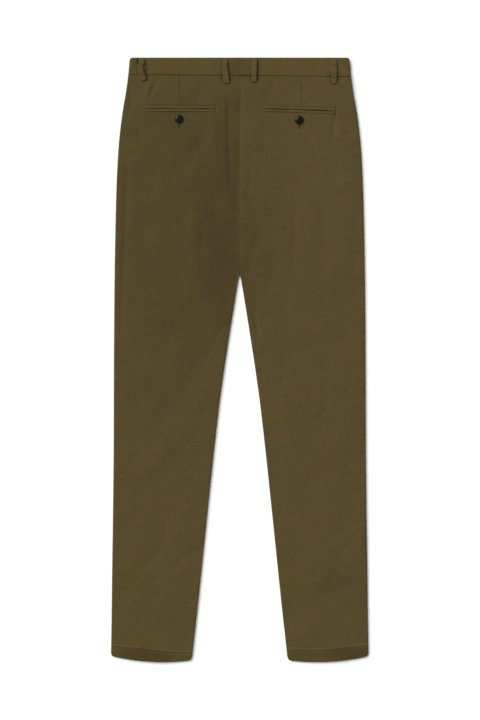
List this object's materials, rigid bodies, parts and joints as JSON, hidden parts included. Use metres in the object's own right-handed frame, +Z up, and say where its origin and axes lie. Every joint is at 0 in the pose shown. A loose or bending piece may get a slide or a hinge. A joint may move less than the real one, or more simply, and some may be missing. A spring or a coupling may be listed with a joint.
{
  "type": "suit trousers",
  "caption": "Slim tapered suit trousers laid flat with the back upward, with belt loops, back darts and buttoned jetted back pockets.",
  "frame": {"origin": "on the resting surface, under the middle of the garment's box", "axes": "+Y towards the waistband, along the garment's length; +Z up, out of the seen back; -X the wearer's left"},
  "size_m": [0.468, 1.1, 0.0108],
  "materials": {
    "cloth": "plain woven olive linen",
    "button": "dark horn, low sheen"
  },
  "bodies": {
    "root": {"back_left": "cloth", "back_right": "cloth", "front_left": "cloth", "front_right": "cloth", "waistband_left": "cloth", "waistband_right": "cloth", "belt_loop_side_left": "cloth", "belt_loop_back_left": "cloth", "belt_loop_back_right": "cloth", "belt_loop_side_right": "cloth", "belt_loop_front_left": "cloth", "belt_loop_front_right": "cloth", "pocket_welt_upper_left": "cloth", "pocket_welt_lower_left": "cloth", "pocket_welt_upper_right": "cloth", "pocket_welt_lower_right": "cloth", "side_pocket_edge_left": "cloth", "side_pocket_edge_right": "cloth", "pocket_button_left": "button", "pocket_button_right": "button", "waist_button": "button"}
  },
  "joints": []
}
